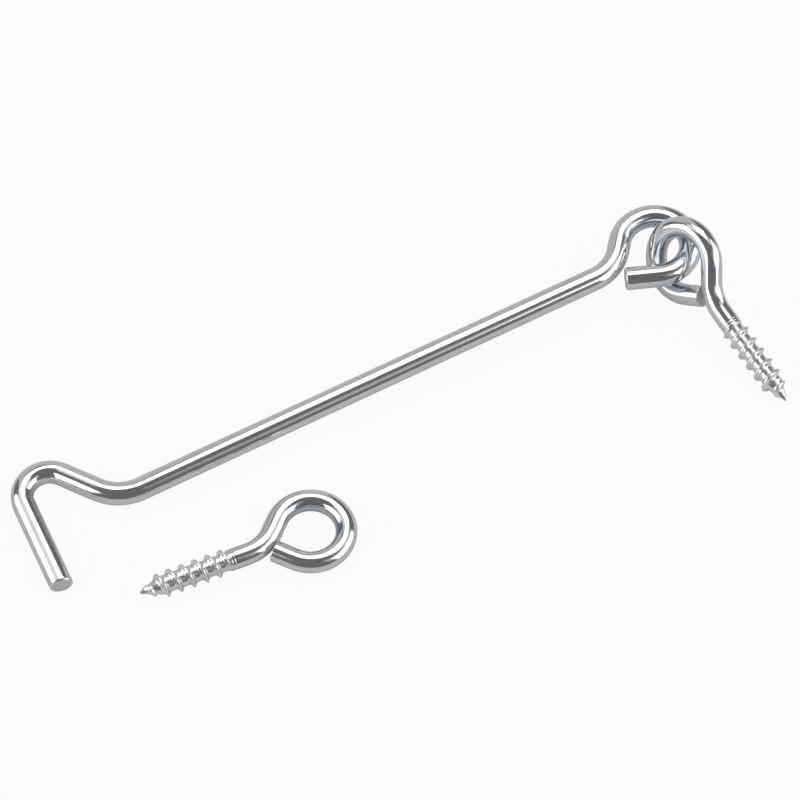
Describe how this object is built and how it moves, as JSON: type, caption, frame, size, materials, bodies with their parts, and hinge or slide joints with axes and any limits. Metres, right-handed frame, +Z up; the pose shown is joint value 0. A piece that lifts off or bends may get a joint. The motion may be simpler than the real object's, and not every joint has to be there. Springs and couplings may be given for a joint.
{
  "type": "hook and eye latch",
  "caption": "Bent wire hook whose closed eye swings on a linked screw eye; its tip drops into a separate screw eye to hold a door or gate shut.",
  "frame": {"origin": "on the surface that the pieces lie on, under the middle of their box", "axes": "+X along the hook's rod, from its hooked end to its eye; +Z up from the surface"},
  "size_m": [0.1538, 0.0564, 0.0167],
  "materials": {
    "zinc_plated_wire": "bright zinc plate on drawn steel wire"
  },
  "bodies": {
    "hook": {"hook": "zinc_plated_wire"},
    "pivot_eye": {"pivot_screw_eye": "zinc_plated_wire"},
    "catch_eye": {"catch_screw_eye": "zinc_plated_wire"}
  },
  "joints": [
    {"name": "hook_swing", "type": "hinge", "parent": "hook", "child": "pivot_eye", "pos_m": [0.06727, 0.01401, 0.00719], "axis": [0, 0, 1], "range_deg": [-30, 210]},
    {"name": "catch_drive_in", "type": "slide", "parent": "hook", "child": "catch_eye", "axis": [-0.9971, 0.0741, 0.0192], "range_m": [0, 0.0188]}
  ]
}
